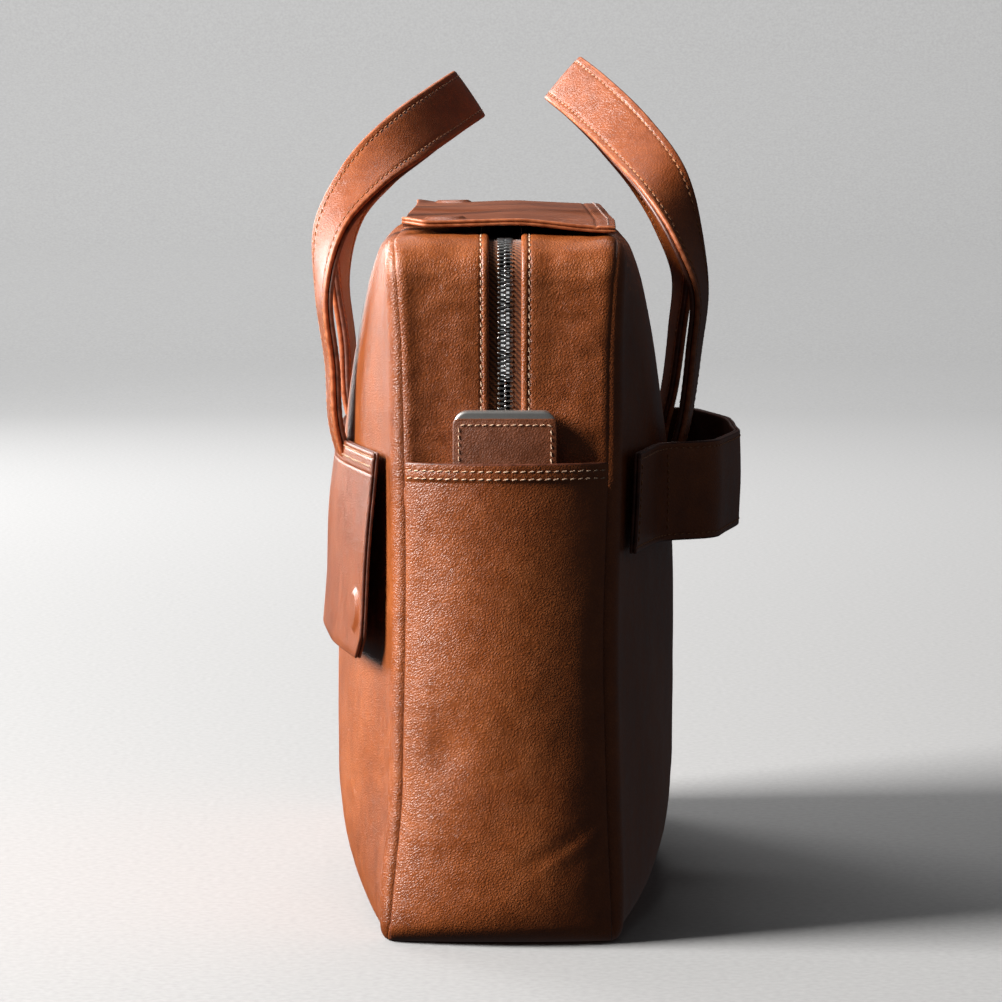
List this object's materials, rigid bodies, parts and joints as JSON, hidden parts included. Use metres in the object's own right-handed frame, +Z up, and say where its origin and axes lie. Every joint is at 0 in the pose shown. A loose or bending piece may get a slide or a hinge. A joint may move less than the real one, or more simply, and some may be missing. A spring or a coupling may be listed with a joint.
{
  "type": "leather briefcase",
  "caption": "Soft tan leather briefcase: domed panels, zip gusset, end pocket, magnetic top and front flaps, two strap handles and a trolley band.",
  "frame": {"origin": "on the floor at the middle of the bag's base, midway between the two panel seams", "axes": "+Z up; Y along the bag's length, the end pocket facing -Y; X across it, the front panel and its flap facing -X and the back panel with the trolley band facing +X"},
  "size_m": [0.1943, 0.4092, 0.3736],
  "materials": {
    "tan_leather": "full-grain, soft sheen",
    "brown_edge_leather": "smooth lining leather with painted edges",
    "brown_tape": "woven twill",
    "dark_metal": "antique nickel",
    "case_metal": "satin",
    "magnet_metal": "plated",
    "lining_cloth": "plain weave",
    "board": "fibreboard"
  },
  "bodies": {
    "shell": {"back_lining": "lining_cloth", "back_panel": "tan_leather", "back_stiffener": "board", "base_board": "board", "end_pocket": "tan_leather", "front_flap_keepers": "magnet_metal", "front_flap_sewn_edge": "tan_leather", "front_lining": "lining_cloth", "front_panel": "tan_leather", "front_pocket_welt": "tan_leather", "front_stiffener": "board", "gusset_base": "tan_leather", "gusset_lining": "lining_cloth", "gusset_zip_back": "tan_leather", "gusset_zip_front": "tan_leather", "handle_back_feet": "tan_leather", "seam_binding_back": "brown_tape", "seam_binding_front": "brown_tape", "top_flap_keepers": "magnet_metal", "top_flap_sewn_edge": "tan_leather", "trolley_band_lining": "brown_edge_leather", "trolley_band_outer": "tan_leather", "zip_stops": "dark_metal", "zip_tape_back": "brown_tape", "zip_tape_front": "brown_tape", "zip_teeth_back": "dark_metal", "zip_teeth_front": "dark_metal"},
    "top_flap": {"top_flap_outer": "tan_leather", "top_flap_lining": "brown_edge_leather", "top_flap_magnets": "magnet_metal"},
    "front_flap": {"front_flap_outer": "tan_leather", "front_flap_lining": "brown_edge_leather", "front_flap_magnets": "magnet_metal"},
    "handle_front": {"handle_front_outer": "tan_leather", "handle_front_lining": "brown_edge_leather"},
    "handle_back": {"handle_back_outer": "tan_leather", "handle_back_lining": "brown_edge_leather"},
    "slider": {"zip_slider": "dark_metal"},
    "pull": {"zip_pull": "dark_metal"},
    "pocket_case": {"pocket_case_body": "case_metal", "pocket_case_leather_inner": "tan_leather", "pocket_case_leather_outer": "tan_leather"}
  },
  "joints": [
    {"name": "top_flap_lift", "type": "hinge", "parent": "shell", "child": "top_flap", "pos_m": [0.0367, 0, 0.3032], "axis": [0, 1, 0], "range_deg": [0, 10]},
    {"name": "front_flap_lift", "type": "hinge", "parent": "shell", "child": "front_flap", "pos_m": [-0.0812, 0, 0.1958], "axis": [0, 1, 0], "range_deg": [0, 105]},
    {"name": "handle_front_swing", "type": "hinge", "parent": "shell", "child": "handle_front", "pos_m": [-0.0736, 0, 0.2098], "axis": [0, 1, 0], "range_deg": [-70, 1]},
    {"name": "handle_back_swing", "type": "hinge", "parent": "shell", "child": "handle_back", "pos_m": [0.0736, 0, 0.192], "axis": [0, 1, 0], "range_deg": [-2, 10]},
    {"name": "zip_slide", "type": "slide", "parent": "shell", "child": "slider", "axis": [0, 0, 1], "range_m": [0, 0.062]},
    {"name": "zip_pull_turn", "type": "hinge", "parent": "slider", "child": "pull", "pos_m": [0, 0.1996, 0.2095], "axis": [1, 0, 0], "range_deg": [0, 165]},
    {"name": "pocket_case_lift", "type": "slide", "parent": "shell", "child": "pocket_case", "axis": [0, 0, 1], "range_m": [0, 0.11]}
  ]
}
